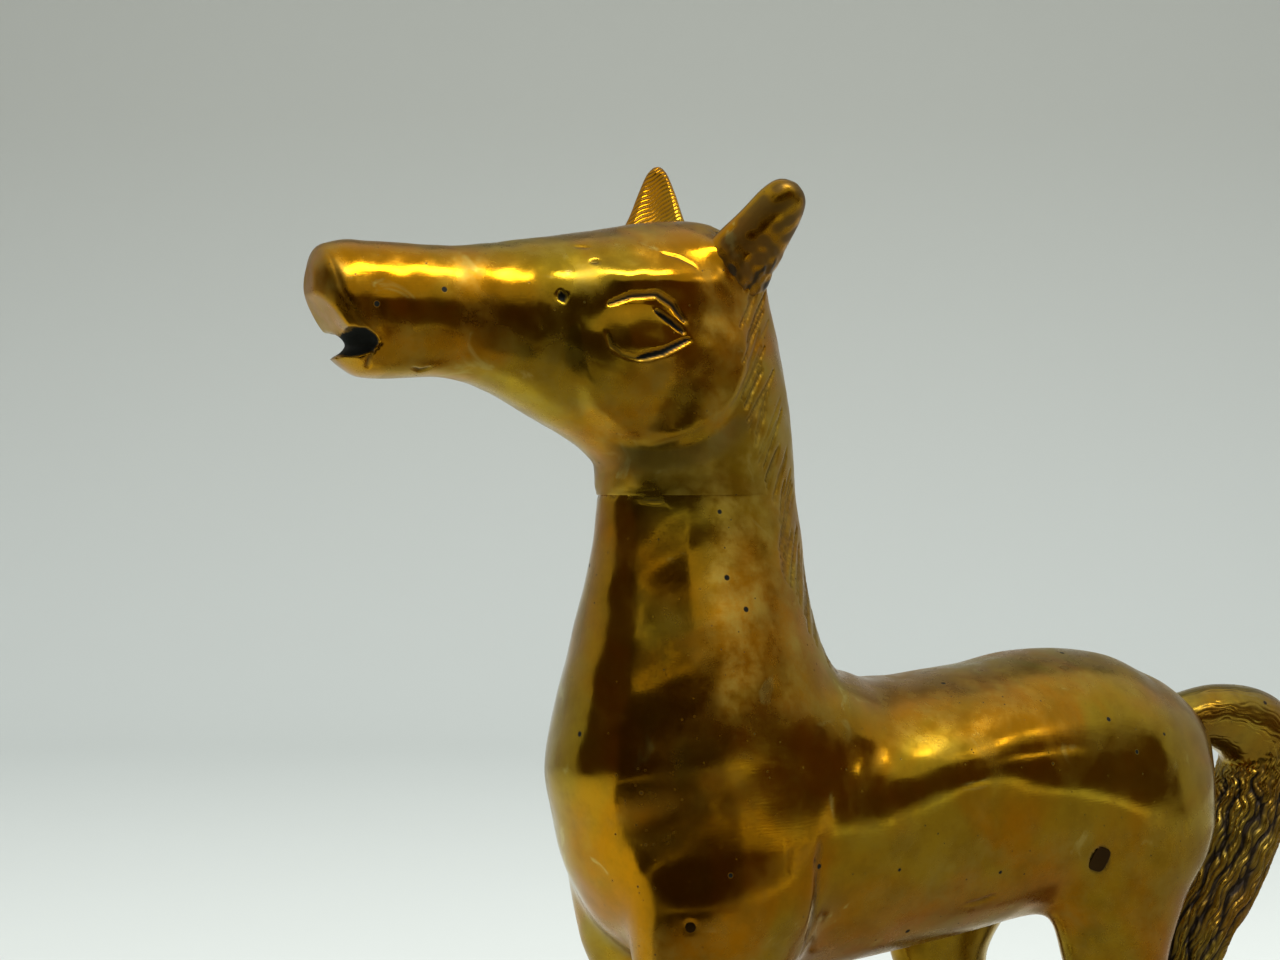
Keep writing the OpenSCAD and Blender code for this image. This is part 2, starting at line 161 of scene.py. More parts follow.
def material(name):
    """An empty node material; gives it with a Socket to build from and a call to finish it."""
    made = bpy.data.materials.new(name)
    made.use_nodes = True
    tree = made.node_tree
    shader = tree.nodes["Principled BSDF"]
    start = Socket(tree, None)

    def finish(height=None, bump_mm=0.0, strength=1.0, **sockets):
        for key, value in sockets.items():
            target = shader.inputs[key.replace("_", " ")]
            if isinstance(value, Socket):
                tree.links.new(value.link, target)
            else:
                target.default_value = value
        if height is not None:
            bump = start.node("ShaderNodeBump", {"Height": height, "Distance": bump_mm * MM,
                                                 "Strength": strength})
            tree.links.new(bump.link, shader.inputs["Normal"])
        return made

    return start, finish


def paint(piece, made):
    piece.data.materials.clear()
    piece.data.materials.append(made)


low, high = (np.array(corner) / MM for corner in cad_box)

# the throat, where neck and head meet in front, is this far behind the muzzle
muzzle_reach = 41.0
throat_x = low[0] + muzzle_reach
view_turn = math.radians(27)
view_away = 260.0
aim = np.array([throat_x + 5.6, 0.0, 108.0])

camera_data = bpy.data.cameras.new("camera")
camera_data.lens = 54
camera_data.sensor_width = 36
camera_data.clip_start = 0.01
camera = bpy.data.objects.new("camera", camera_data)
eye = aim + view_away * np.array([-math.sin(view_turn), -math.cos(view_turn), 0])
camera.location = eye * MM
camera.rotation_euler = (math.pi / 2, 0, -view_turn)
bpy.context.scene.collection.objects.link(camera)
bpy.context.scene.camera = camera


def sweep(u, v):
    """Floor that curves up into a wall: u runs back from the front edge, v across.
    Flat up to the bend, then a quarter circle, then straight up."""
    front, bend, radius, wide = -420.0, 500.0, 300.0, 1700.0
    flat = bend - front
    quarter = radius * math.pi / 2
    along = u * (flat + quarter + 900.0)
    turn = np.clip((along - flat) / radius, 0, math.pi / 2)
    back = np.minimum(along, flat) + front + radius * np.sin(turn)
    up = radius * (1 - np.cos(turn)) + np.maximum(along - flat - quarter, 0)
    return np.stack([(v - 0.5) * wide, back, up], -1)


def turned(points, angle):
    """The same points turned about the upright line through the middle of the horse."""
    c, s = math.cos(angle), math.sin(angle)
    x, y, z = np.moveaxis(points, -1, 0)
    return np.stack([x * c - y * s, x * s + y * c, z], -1)


u, v = np.meshgrid(np.linspace(0, 1, 121), np.linspace(0, 1, 3), indexing="ij")
floor = new_mesh("floor_sweep", turned(sweep(u, v), -view_turn).reshape(-1, 3),
                 grid_faces(121, 3, close_around=False)[:, ::-1])
start, finish = material("pale_paper")
# painted shade: the pale paper is coloured darker from the floor up the wall
height = start.node("ShaderNodeSeparateXYZ", [start.node("ShaderNodeTexCoord", out=3)], out=2)
shade = (height / 0.9).node("ShaderNodeValToRGB", [height / 0.9], stops=[
    (0.0, (0.66, 0.71, 0.70)), (0.35, (0.52, 0.54, 0.51)), (1.0, (0.40, 0.42, 0.38))])
paint(floor, finish(Base_Color=(start.noise(60, 2) * 0.08).tint(shade, (0.55, 0.57, 0.55, 1)),
                    Roughness=0.9, Specular_IOR_Level=0.15))
bpy.context.scene.view_settings.view_transform = "Standard"


def flag(name, radius, from_turn, to_turn, bottom, top, colour):
    """A dark curved card round the horse, glowing faintly and seen only by reflections: a painted reflection of a dark
    room; turns in degrees from -Y.
    """
    a = np.radians(np.linspace(from_turn, to_turn, 49))
    ring = np.stack([radius * np.sin(a), -radius * np.cos(a)], -1)
    z = np.linspace(bottom, top, 5)
    points = np.stack([np.repeat(ring[:, 0], 5), np.repeat(ring[:, 1], 5), np.tile(z, 49)], -1)
    card = new_mesh(name, points, grid_faces(49, 5, close_around=False))
    start, finish = material(name)
    paint(card, finish(Base_Color=colour, Roughness=0.8, Specular_IOR_Level=0.0,
                       Emission_Color=colour, Emission_Strength=0.6))
    card.visible_camera = False
    card.visible_diffuse = False
    card.visible_shadow = False
    card.visible_transmission = False
    return card


flag("dark_flag", 400.0, -82, -20, 8.0, 226.0, (0.020, 0.013, 0.006, 1))
flag("brown_flag", 400.0, -20, 8, 8.0, 270.0, (0.030, 0.018, 0.006, 1))
flag("neck_flag", 400.0, -75, -24, 262.0, 345.0, (0.020, 0.013, 0.006, 1))
flag("front_flag", 402.0, -115, -80, 55.0, 285.0, (0.040, 0.024, 0.008, 1))
flag("side_flag", 405.0, 6, 62, 42.0, 292.0, (0.060, 0.032, 0.008, 1))


def table_card(name, from_turn, to_turn, inner, outer, colour):
    """A glowing card lying round the horse just over the floor, seen only by reflections: a painted reflection of the
    floor and of the shade under the horse.
    """
    a = np.radians(np.linspace(from_turn, to_turn, 49))[:, None]
    r = np.linspace(inner, outer, 5)
    points = np.stack([r * np.sin(a), -r * np.cos(a), np.full((49, 5), 0.5)], -1).reshape(-1, 3)
    card = new_mesh(name, points, grid_faces(49, 5, close_around=False))
    start, finish = material(name)
    paint(card, finish(Base_Color=(0, 0, 0, 1), Roughness=1.0, Specular_IOR_Level=0.0,
                       Emission_Color=colour, Emission_Strength=1.0))
    card.visible_camera = False
    card.visible_diffuse = False
    card.visible_shadow = False
    card.visible_transmission = False


table_card("dark_table", -82, -18, 165.0, 402.0, (0.030, 0.022, 0.010, 1))
table_card("brown_table", -18, 6, 240.0, 402.0, (0.10, 0.06, 0.025, 1))
table_card("front_table", -18, 6, 30.0, 240.0, (0.42, 0.39, 0.33, 1))
table_card("grey_table", 6, 100, 30.0, 420.0, (0.38, 0.35, 0.30, 1))
table_card("near_table", -82, -18, 30.0, 165.0, (0.40, 0.36, 0.30, 1))
table_card("shade_table", -100, 100, 3.0, 30.0, (0.34, 0.27, 0.17, 1))


def soft_light(name, place, aimed_at, size, watts, colour):
    data = bpy.data.lights.new(name, "AREA")
    data.shape = "RECTANGLE"
    data.size = size[0] * MM
    data.size_y = size[1] * MM
    data.energy = watts
    data.color = colour
    light = bpy.data.objects.new(name, data)
    place = np.array(place, float)
    direction = np.array(aimed_at, float) - place
    away = math.hypot(direction[0], direction[1])
    light.location = place * MM
    light.rotation_euler = (math.atan2(away, -direction[2]), 0, math.atan2(-direction[0], direction[1]))
    light.visible_camera = False
    bpy.context.scene.collection.objects.link(light)
    return light


fill = soft_light("top_light", (-40, -180, 620), (0, 0, 60), (700, 320), 3.2, (1.0, 0.97, 0.92))
fill.visible_glossy = False
soft_light("window_light", (throat_x + 125, -342, 608), (throat_x, 0, 130), (300, 115), 1.9, (1.0, 0.98, 0.94))
# two small lamps at one side draw the bright dashes on the back, a third the glint on the tail
soft_light("side_light", (throat_x + 335, -297, 372), (throat_x + 50, -16, 71), (14, 12), 0.016, (1.0, 0.95, 0.82))
soft_light("side_light_2", (throat_x + 351, -297, 372), (throat_x + 66, -16, 71), (24, 12), 0.030, (1.0, 0.95, 0.82))
soft_light("tail_light", (throat_x + 274, -236, 166), (throat_x + 109, -4, 72), (16, 16), 0.004, (1.0, 0.95, 0.82))

world = bpy.data.worlds.new("pale_sky")
world.use_nodes = True
bpy.context.scene.world = world
sky = Socket(world.node_tree, None)
up = sky.node("ShaderNodeSeparateXYZ", [sky.node("ShaderNodeTexCoord", out=0)], out=2)
shade = up.node("ShaderNodeValToRGB", [up.between(-0.3, 1.0)], stops=[
    (0.0, (0.42, 0.41, 0.38)), (0.45, (0.50, 0.51, 0.50)), (1.0, (0.80, 0.81, 0.80))])
background = world.node_tree.nodes["Background"]
world.node_tree.links.new(shade.link, background.inputs["Color"])
background.inputs["Strength"].default_value = 0.92


# ---- Body casting ---------------------------------------------------------------------
# The hollow neck and trunk with the upper part of each leg, one brass casting, filed and
# polished. The brazed legs are worked out with it, because their skins run into each other.

def mix(a, b, t):
    return a + (b - a) * t


def rise(value, low, high):
    """0 at low, 1 at high and a smooth step between: three squares less two cubes."""
    t = np.clip((value - low) / (high - low), 0, 1)
    return t * t * (3 - 2 * t)


def along(rows, t):
    """Smooth curve through the rows, each a list of sizes; t counts rows."""
    i = np.clip(np.floor(t).astype(int), 0, len(rows) - 2)
    f = (t - i)[:, None]
    p0, p1, p2 = rows[np.maximum(i - 1, 0)], rows[i], rows[i + 1]
    p3 = rows[np.minimum(i + 2, len(rows) - 1)]
    return p1 + f / 2 * (p2 - p0 + f * (2 * p0 - 5 * p1 + 4 * p2 - p3
                                        + f * (3 * p1 - p0 - 3 * p2 + p3)))


def bent_tube(rows, t, a):
    """Tube round the bent line of a horse's topline and underline. A row is under x, under z,
    top x, top z, half width, level of the widest place and squareness; a is the angle round."""
    r = along(rows, t)
    power = r[:, 6:7]
    s = np.sign(np.sin(a)) * np.abs(np.sin(a)) ** power
    c = np.sign(np.cos(a)) * np.abs(np.cos(a)) ** power
    level = r[:, 5:6]
    h = level + s * np.where(s > 0, 1 - level, level)
    return np.stack([mix(r[:, 0:1], r[:, 2:3], h), r[:, 4:5] * c, mix(r[:, 1:2], r[:, 3:4], h)], -1)


back_h, belly_h, head_seam_h = 80.0, 39.0, 106.0
neck_d, neck_w, chest_w, barrel_w, croup_w = 29.0, 21.0, 37.0, 36.0, 34.0
muzzle_w, eye_w, poll_rise = 12.6, 22.6, 37.0
trunk_len, breast_out = 109.0, 7.0


def head_ring(a1, z1, a2, z2, wide, level=0.46, square=0.95):
    """x as a share of the muzzle's reach before the throat or of the neck's depth behind it."""
    x1, x2 = (a * (muzzle_reach if a < 0 else neck_d) for a in (a1, a2))
    return [x1, head_seam_h + z1 * poll_rise, x2, head_seam_h + z2 * poll_rise, wide / 2, level, square]


def neck_ring(x1, z1, x2, z2, swell):
    rise_h = head_seam_h - back_h
    return [x1, back_h + z1 * rise_h, neck_d + x2, back_h + z2 * rise_h,
            mix(neck_w, chest_w, swell) / 2, 0.45, 1]


def trunk_ring(x1, z1, x2, z2, wide, level=0.48):
    deep = back_h - belly_h
    return [x1 * trunk_len - breast_out, belly_h + z1 * deep,
            x2 * trunk_len - breast_out, belly_h + z2 * deep, wide / 2, level, 1]


head_rings = [
    head_ring(-1.00, 0.66, -1.00, 0.78, 0.35 * muzzle_w, 0.5, 1),
    head_ring(-0.98, 0.61, -0.97, 0.84, 0.72 * muzzle_w, 0.5),
    head_ring(-0.94, 0.50, -0.93, 0.86, 0.90 * muzzle_w),
    head_ring(-0.88, 0.43, -0.88, 0.87, 0.98 * muzzle_w),
    head_ring(-0.80, 0.40, -0.80, 0.87, muzzle_w),
    head_ring(-0.56, 0.41, -0.56, 0.87, mix(muzzle_w, eye_w, 0.05)),
    head_ring(-0.41, 0.37, -0.40, 0.89, mix(muzzle_w, eye_w, 0.32)),
    head_ring(-0.24, 0.27, -0.22, 0.92, mix(muzzle_w, eye_w, 0.68), 0.55),
    head_ring(-0.10, 0.19, -0.02, 0.96, mix(muzzle_w, eye_w, 0.92), 0.58),
    head_ring(-0.02, 0.12, 0.26, 1.00, eye_w, 0.6),
    head_ring(0, 0.08, 0.52, 1.00, mix(eye_w, neck_w, 0.15), 0.58),
    head_ring(0, 0.05, 0.73, 0.90, mix(eye_w, neck_w, 0.5), 0.52),
    head_ring(0, 0.02, 0.86, 0.68, mix(eye_w, neck_w, 0.85)),
    head_ring(0, 0.01, 0.96, 0.30, neck_w),
    head_ring(0, 0, 1, 0, neck_w, 0.45, 1)]
neck_rings = [
    neck_ring(-0.3, 0.77, 0.8, 0.74, 0.15),
    neck_ring(-1.5, 0.52, 1.5, 0.48, 0.38),
    neck_ring(-3.0, 0.27, 2.6, 0.28, 0.60),
    neck_ring(-4.7, 0.02, 4.1, 0.15, 0.77),
    neck_ring(-6.2, -0.23, 6.0, 0.06, 0.89)]
trunk_rings = [
    trunk_ring(0.00, 0.72, 0.41, 1.02, mix(neck_w, chest_w, 0.94), 0.42),
    trunk_ring(0.01, 0.57, 0.43, 1.00, mix(neck_w, chest_w, 0.97), 0.42),
    trunk_ring(0.03, 0.38, 0.45, 0.99, mix(neck_w, chest_w, 0.99), 0.42),
    trunk_ring(0.08, 0.18, 0.47, 0.99, chest_w, 0.45),
    trunk_ring(0.17, 0.04, 0.50, 0.99, chest_w, 0.54),
    trunk_ring(0.28, 0.00, 0.54, 1.00, mix(chest_w, barrel_w, 0.3), 0.61),
    trunk_ring(0.47, 0.03, 0.62, 1.02, barrel_w, 0.63),
    trunk_ring(0.65, 0.09, 0.72, 1.06, barrel_w, 0.50),
    trunk_ring(0.82, 0.17, 0.83, 1.04, croup_w, 0.40),
    trunk_ring(0.90, 0.26, 0.89, 0.98, 0.88 * croup_w, 0.38),
    trunk_ring(0.95, 0.38, 0.945, 0.91, 0.72 * croup_w, 0.41),
    trunk_ring(0.99, 0.51, 0.98, 0.83, 0.48 * croup_w, 0.5),
    trunk_ring(1.00, 0.62, 0.995, 0.75, 0.24 * croup_w, 0.5)]
run = np.array(head_rings + neck_rings + trunk_rings)
head_seam = len(head_rings) - 1.0
run_end = len(run) - 1.0

# legs: level ovals, each x, y, z, half length, half width, with x counted from the throat
leg_span, leg_seam_h, hoof_h = 22.0, 36.0, 6.0
foreleg_x = 18 - breast_out
rump_x = trunk_len - breast_out
hip_x = rump_x - 20


def leg_rows(side, seam_x, top_x, half_w, seam_w, knee_x, fetlock_x, hoof_x):
    """Ovals from the shoulder or hip down through the knee and fetlock to the ground."""
    y = side * leg_span / 2
    deep = back_h - belly_h
    below = leg_seam_h - hoof_h
    knee, cannon, long = 4.7, 3.5, 26
    return np.array([
        [top_x + 3, 0.72 * y, belly_h + 0.78 * deep, 0.22 * long, 0.58 * half_w],
        [top_x + 3, 0.86 * y, belly_h + 0.50 * deep, 0.47 * long, 0.95 * half_w],
        [mix(top_x + 3, seam_x, 0.35), 0.98 * y, belly_h + 0.34 * deep, 0.50 * long, half_w],
        [mix(top_x, seam_x, 0.75), 0.98 * y, belly_h + 0.13 * deep, 0.43 * long, 0.84 * half_w],
        [seam_x, y, leg_seam_h, 8.5, seam_w],
        [mix(seam_x, knee_x, 0.55), 0.99 * y, hoof_h + 0.74 * below, mix(8.5, knee, 0.62),
         mix(seam_w, knee, 0.6)],
        [knee_x, 0.97 * y, hoof_h + 0.46 * below, knee, 0.92 * knee],
        [mix(knee_x, fetlock_x, 0.6), 0.96 * y, hoof_h + 0.26 * below, cannon, 0.95 * cannon],
        [fetlock_x, 0.96 * y, hoof_h + 0.1 * below, 1.16 * cannon, 1.1 * cannon],
        [mix(fetlock_x, hoof_x, 0.7), 0.96 * y, hoof_h - 0.6, 1.1 * cannon, 1.1 * cannon],
        [hoof_x, 0.96 * y, hoof_h - 1.6, 4.75, 4.75],
        [hoof_x, 0.96 * y, 0.0, 5.75, 5.75],
        [hoof_x, 0.96 * y, -2.0, 6.1, 6.1]])


legs = {
    "left_foreleg": leg_rows(-1, foreleg_x, foreleg_x, 8.5, 6.4, foreleg_x - 1, foreleg_x, foreleg_x - 1),
    "right_foreleg": leg_rows(1, foreleg_x + 3, foreleg_x, 8.5, 6.4, foreleg_x + 2, foreleg_x + 3,
                              foreleg_x + 2),
    "left_hindleg": leg_rows(-1, hip_x - 3, hip_x, 6.5, 5.3, hip_x + 4, hip_x + 3, hip_x + 2),
    "right_hindleg": leg_rows(1, hip_x - 19, hip_x, 6.5, 5.3, hip_x - 15, hip_x - 17, hip_x - 19)}


def capped(surface):
    """Points and faces of a grid closed around, with a point to close each end."""
    n, m = surface.shape[:2]
    points = np.concatenate([surface.reshape(-1, 3), surface[0].mean(0)[None], surface[-1].mean(0)[None]])
    k = np.arange(m)
    first = np.stack([np.full(m, n * m), k, (k + 1) % m], -1)
    last = np.stack([np.full(m, n * m + 1), (n - 1) * m + (k + 1) % m, (n - 1) * m + k], -1)
    return points, grid_faces(n, m), np.concatenate([first, last])


class Volume:
    """A box of distances to a surface, negative inside, on a regular grid."""

    def __init__(self, lowest, highest, voxel):
        self.voxel = voxel
        self.first = np.floor(np.array(lowest) / voxel).astype(int) - 4
        self.shape = np.ceil(np.array(highest) / voxel).astype(int) + 4 - self.first
        self.distance = np.full(self.shape, 9.0, np.float32)

    def places(self):
        """x, y and z of the grid, each along its own axis."""
        return [((self.first[axis] + np.arange(self.shape[axis])) * self.voxel).astype(np.float32)
                .reshape([-1 if i == axis else 1 for i in range(3)]) for axis in range(3)]

    def join(self, new, blend):
        """Joins a distance to what is there, with a fillet about blend wide.
        The fillet is the smooth minimum: less h cubed over six, where h is the overlap."""
        h = np.maximum(blend - np.abs(self.distance - new), 0) / blend
        self.distance = np.minimum(self.distance, new) - h ** 3 * (blend / 6)

    def add(self, surface, blend, band=9.0):
        """Joins a closed surface to what is there."""
        points, quads, triangles = capped(surface)
        grid = openvdb.FloatGrid.createLevelSetFromPolygons(
            points.astype(np.float32), triangles=triangles.astype(np.uint32),
            quads=quads.astype(np.uint32), transform=openvdb.createLinearTransform(self.voxel),
            halfWidth=band / self.voxel)
        new = np.empty(self.shape, np.float32)
        grid.copyToArray(new, ijk=tuple(int(i) for i in self.first))
        self.join(new, blend)

    def soften(self, passes):
        """Averages each place with its neighbours, a quarter, a half and a quarter."""
        for _ in range(passes):
            for axis in range(3):
                d = np.moveaxis(self.distance, axis, 0)
                d[1:-1] = 0.5 * d[1:-1] + 0.25 * (d[:-2] + d[2:])

    def surface(self):
        """Points and quads of the place where the distance is nought, facing outwards."""
        grid = openvdb.FloatGrid(9.0)
        grid.transform = openvdb.createLinearTransform(self.voxel)
        grid.copyFromArray(np.ascontiguousarray(self.distance), ijk=tuple(int(i) for i in self.first),
                           tolerance=0.0)
        points, quads = grid.convertToQuads(0.0)
        quads = quads.astype(int)
        a, b, c = (points[quads[:, i]] for i in range(3))
        inward = np.einsum("ij,ij->i", a, np.cross(b - a, c - a)).sum() < 0
        return points.astype(float), quads[:, ::-1] if inward else quads


def smoothed(points, quads, passes):
    """Moves each point towards its neighbours' middle and part of the way back."""
    edges = np.concatenate([quads[:, [i, (i + 1) % 4]] for i in range(4)])
    count = np.bincount(edges[:, 0], minlength=len(points))[:, None]
    for i in range(2 * passes):
        middle = np.stack([np.bincount(edges[:, 0], points[edges[:, 1], k], len(points))
                           for k in range(3)], -1) / count
        points = points + (0.5 if i % 2 == 0 else -0.52) * (middle - points)
    return points


def outward(points, quads):
    """Unit normal at each point: the sum of the cross products of its faces' diagonals."""
    a, b, c, d = (points[quads[:, i]] for i in range(4))
    face = np.cross(c - a, d - b)
    total = np.stack([np.bincount(quads.ravel(), np.repeat(face[:, k], 4), len(points))
                      for k in range(3)], -1)
    return total / np.linalg.norm(total, axis=1, keepdims=True)


def carved(points, strokes, across=0.3):
    """Depth that graver strokes cut at each point. A stroke is a half width, a depth and the
    places it passes; its depth falls from its middle line as the square of one less the
    square of the distance over the half width, and it narrows to its ends. Distances along y
    count only in part, so that a stroke follows the skin."""
    weight = np.array([1, across, 1])
    cut = np.zeros(len(points))
    for half, depth, *line in strokes:
        line = np.array(line, float)
        reach = half / weight
        near = np.flatnonzero(((points > line.min(0) - reach) & (points < line.max(0) + reach)).all(1))
        best = np.full(len(near), np.inf)
        place = np.zeros(len(near))
        for k in range(len(line) - 1):
            step = (line[k + 1] - line[k]) * weight
            start_at = (points[near] - line[k]) * weight
            s = np.clip(start_at @ step / (step @ step), 0, 1)
            d = np.linalg.norm(start_at - s[:, None] * step, axis=1)
            place = np.where(d < best, k + s, place)
            best = np.minimum(d, best)
        width = half * (0.4 + 0.6 * np.sqrt(np.sin(np.pi * place / (len(line) - 1))))
        cut[near] = np.maximum(cut[near], depth * np.clip(1 - (best / width) ** 2, 0, 1) ** 2)
    return cut


def both_sides(strokes):
    """The same strokes on the near side, where y is negative, and mirrored on the far side."""
    far = [[half, depth, *[(x, -y, z) for x, y, z in line]] for half, depth, *line in strokes]
    return strokes + far


def waves(points, size, seed):
    """Soft random waves from about -1 to 1: the mean of sines in seeded directions."""
    random = np.random.default_rng(seed)
    total = np.zeros(len(points))
    for _ in range(9):
        way = random.normal(size=3)
        way *= 2 * np.pi / (size * random.uniform(0.75, 1.5) * np.linalg.norm(way))
        total += np.sin(points @ way + random.uniform(0, 2 * np.pi))
    return total / 4


# mane: graver strokes down the crest, running up and back, worn and a little uneven
random = np.random.default_rng(3)
mane_edge = np.array([[17.5, 134.0], [16.5, 126.0], [15.8, 118.6], [18.2, 112.0], [21.5, 102.5],
                      [21.5, 96.0], [24.5, 91.0], [27.5, 86.1], [32.0, 81.0]])
mane = []
for side in (-1, 1):
    for share in np.linspace(0, 1, 62):
        spot = along(mane_edge, np.array([share * (len(mane_edge) - 1)]))[0]
        spot = spot + random.normal(0, 0.5, 2)
        lean = math.radians(random.normal(mix(60, 74, share), 4))
        length = random.uniform(4.5, 9.0)
        way = np.array([math.cos(lean), math.sin(lean)])
        places = [spot + way * length * s + np.array([0.25 * s * s * length * 0.3, 0]) for s in (0, 0.5, 1)]
        mane.append([random.uniform(0.32, 0.5), random.uniform(0.12, 0.3),
                     *[(p[0], side * 8.0, p[1]) for p in places]])


def mane_cut(points):
    """Depth of the mane's strokes, which are laid out in side view and cut on both sides."""
    flat = points * np.array([1, 0, 1]) + np.array([0, 8.0, 0]) * np.sign(points[:, 1:2])
    return carved(flat, mane) * rise(np.abs(points[:, 1]), 0.3, 1.2)


def shell(name, points, quads, keep, above=None, below=None, **values):
    """A mesh of the faces to keep, with its values on the points, cut level and closed."""
    used, faces = np.unique(quads[keep], return_inverse=True)
    piece = new_mesh(name, points[used], faces.reshape(-1, 4))
    for key, value in values.items():
        layer = piece.data.attributes.new(key, "FLOAT", "POINT")
        layer.data.foreach_set("value", value[used].astype(np.float32))
    work = bmesh.new()
    work.from_mesh(piece.data)
    for level, way in ((above, -1), (below, 1)):
        if level is None:
            continue
        cut = bmesh.ops.bisect_plane(work, geom=work.verts[:] + work.edges[:] + work.faces[:],
                                     dist=1e-7, plane_co=(0, 0, level * MM), plane_no=(0, 0, way),
                                     clear_outer=True)["geom_cut"]
        rim = [part for part in cut if isinstance(part, bmesh.types.BMEdge)]
        lid = bmesh.ops.edgeloop_fill(work, edges=rim)["faces"]
        for edge in rim:
            edge.smooth = False
        for face in lid:
            face.smooth = False
    bmesh.ops.recalc_face_normals(work, faces=work.faces[:])
    work.to_mesh(piece.data)
    work.free()
    return piece


shift = np.array([throat_x, 0, 0])
voxel = 0.48
body_volume = Volume((-12, -20, 0), (rump_x + 3, 20, head_seam_h + 3), voxel)
t = np.linspace(head_seam - 1, run_end, 240)
body_volume.add(bent_tube(run, t, np.linspace(0, 2 * np.pi, 161)[:-1]), 1.0)
for name, rows in legs.items():
    t = np.linspace(0, len(rows) - 1, 90)
    a = np.linspace(0, 2 * np.pi, 65)[:-1]
    r = along(rows, t)
    body_volume.add(np.stack([r[:, 0:1] + r[:, 3:4] * np.cos(-a), r[:, 1:2] + r[:, 4:5] * np.sin(-a),
                              np.repeat(r[:, 2:3], len(a), 1)], -1), 7.0)
x, y, z = body_volume.places()
aside = rise(np.abs(y), 5, 10)
# the shoulder stands proud of the barrel and ends in a soft step behind the foreleg
behind = x - (25.5 - 3.2 * rise(z, 72, 57) + 1.0 * rise(z, 52, 42))
body_volume.distance += 0.5 * aside * rise(behind, -1.4, 2.2) * rise(behind, 16, 4) * rise(z, 76, 60)
body_volume.soften(2)
body_volume.distance = np.maximum(body_volume.distance, -z)
body_points, body_quads = body_volume.surface()
body_points = smoothed(body_points, body_quads, 4)
normals = outward(body_points, body_quads)
body_strokes = both_sides([
    [1.5, 0.22, (22.9, -18.2, 60.5), (22.4, -18.4, 58.3), (22.6, -16, 51), (23.2, -12.6, 44.5)],
    [0.42, 0.4, (17.7, -18.5, 61.6), (17.5, -18, 57), (18.8, -16, 50.3)],
    [0.5, 0.5, (21.9, -18.4, 58.3), (22.6, -17, 53), (22.2, -15.5, 48.5)],
    [0.35, 0.2, (9.5, -17, 52.5), (9.8, -16.8, 47.5)],
    [0.6, 0.5, (48.8, -14.7, 48.6), (52, -14.6, 48.8), (54.9, -14.6, 49.6)],
    [0.4, 0.35, (0, -1.4, 105.7), (2.5, -6.1, 105.6), (5.9, -8.8, 105.0)]])
cut = np.maximum(carved(body_points, body_strokes), mane_cut(body_points))
# coronet: a shallow groove where each hoof begins, deeper at the heel
coronet = 0.3 * np.exp(-((body_points[:, 2] - 5.6) / 0.55) ** 2)
cut = np.maximum(cut, coronet)


def skin_near(x, y, z, side):
    """Point of the body's skin that lies sideways of the place."""
    away = np.hypot(body_points[:, 0] - x, body_points[:, 2] - z) + 9 * (body_points[:, 1] * side < 4)
    return body_points[np.argmin(away)].copy()


flank_near, flank_far = skin_near(71.2, -15.5, 53.4, -1), skin_near(71.2, 15.5, 53.4, 1)
chest_spot = skin_near(4.0, -16.5, 51.0, -1)
normals_of_body = normals
for spot, half in ((flank_near, 1.9), (flank_far, 1.9), (chest_spot, 0.8)):
    # a shallow bed for each plug, with a fine dark joint round it
    away = body_points - spot
    ring = np.linalg.norm(away * np.array([1, 0.3, 0.86]), axis=1)
    cut = np.maximum(cut, 0.15 * half * rise(ring, half + 0.15, half - 0.4) * (np.abs(away[:, 1]) < 4))
dents = 0.07 * waves(body_points, 11, 5) + 0.03 * waves(body_points, 4.5, 6)
body_points = body_points + normals * (dents * rise(body_points[:, 2], 1, 4) - cut)[:, None]
recess = np.clip((cut - 0.08) / 0.36, 0, 1)
# where handling has not kept it bright: sides of the neck, back, lower chest and flanks
x, z = body_points[:, 0], body_points[:, 2]
dull = np.maximum.reduce([0.9 * rise(z, 73, 81) * rise(x, 34, 27) * rise(-normals[:, 0], 0.32, 0.14),
                          0.6 * rise(normals[:, 2], 0.55, 0.85) * rise(x, 24, 34),
                          0.8 * rise(z, 53, 47) * rise(x, 26, 18), 0.5 * rise(x, 26, 36) * rise(z, 62, 55)])
dull = np.clip(dull * (1 + 0.35 * waves(body_points, 7, 41)), 0, 1)

